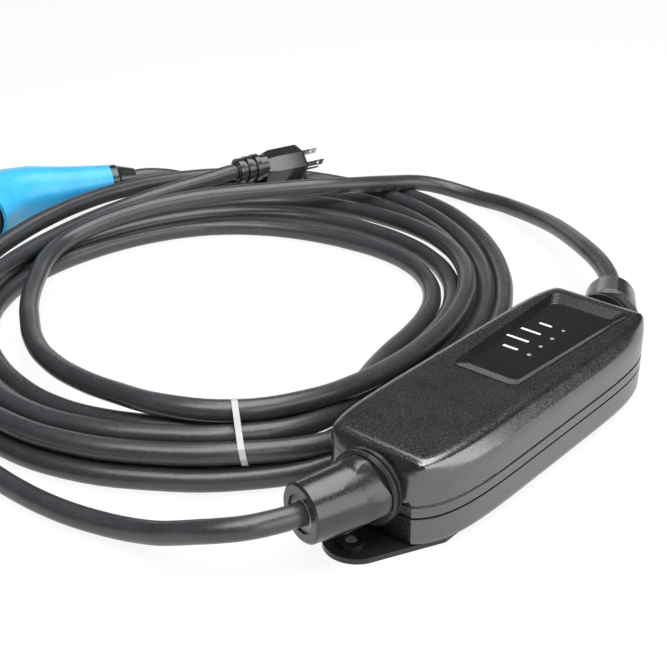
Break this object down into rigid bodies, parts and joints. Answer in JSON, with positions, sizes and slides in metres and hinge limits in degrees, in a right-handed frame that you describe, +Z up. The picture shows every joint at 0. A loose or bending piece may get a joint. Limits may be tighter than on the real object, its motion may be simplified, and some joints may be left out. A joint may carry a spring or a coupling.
{
  "type": "portable ev charger",
  "caption": "Portable EV charger: control box on a wall plate with a gland at each end, a mains lead with a moulded plug and a coiled, tied cable ending in a pistol-grip connector.",
  "frame": {"origin": "under the middle of the control box, on the surface that the plate, the coil and the leads lie on", "axes": "+X along the box from the mains gland to the charging gland, +Y towards the coil, +Z up out of the display"},
  "size_m": [0.5081, 0.5364, 0.0502],
  "materials": {
    "black_abs": "satin",
    "black_nylon": "satin",
    "black_rubber": "satin",
    "dark_rubber": "matte",
    "grey_seal": "matte",
    "cable_jacket": "satin",
    "lens": "polished",
    "clear_pipe": "polished",
    "board_green": "satin",
    "relay_blue": "satin",
    "terminal_green": "satin",
    "white_nylon": "satin",
    "sky_blue": "gloss",
    "steel": "plated",
    "plated_brass": "nickel plated",
    "silvered_brass": "silver plated"
  },
  "bodies": {
    "charger": {"mounting_plate": "black_abs", "plate_screws": "steel", "lower_shell": "black_abs", "shell_gasket": "dark_rubber", "upper_shell": "black_abs", "case_screws": "steel", "display_lens": "lens", "light_pipes": "clear_pipe", "circuit_board": "board_green", "board_screws": "steel", "relays": "relay_blue", "current_transformer": "black_abs", "power_module": "black_abs", "terminal_blocks": "terminal_green", "mains_gland_body": "black_nylon", "mains_boot": "black_rubber", "mains_seal": "grey_seal", "charge_gland_body": "black_nylon", "charge_boot": "black_rubber", "charge_seal": "grey_seal", "gland_nuts": "black_nylon", "mains_lead": "cable_jacket", "plug_body": "black_rubber", "plug_blades": "plated_brass", "plug_earth_pin": "plated_brass", "charge_lead": "cable_jacket", "cable_coil": "cable_jacket", "cable_tie": "white_nylon", "connector_lead": "cable_jacket", "connector_boot": "black_rubber", "handle_shell_upper": "sky_blue", "handle_shell_lower": "sky_blue", "handle_screws": "steel", "connector_nose": "black_nylon", "connector_contacts": "silvered_brass", "latch_pin": "steel", "latch_spring": "steel"},
    "latch": {"latch_lever": "black_nylon"}
  },
  "joints": [
    {"name": "latch_hinge", "type": "hinge", "parent": "charger", "child": "latch", "pos_m": [-0.01021, 0.4772, 0.024], "axis": [0, 0, -1], "range_deg": [0, 7], "stiffness_Nm_per_rad": 0.5, "springref_deg": -11.46, "deforming": ["latch_spring"]}
  ]
}
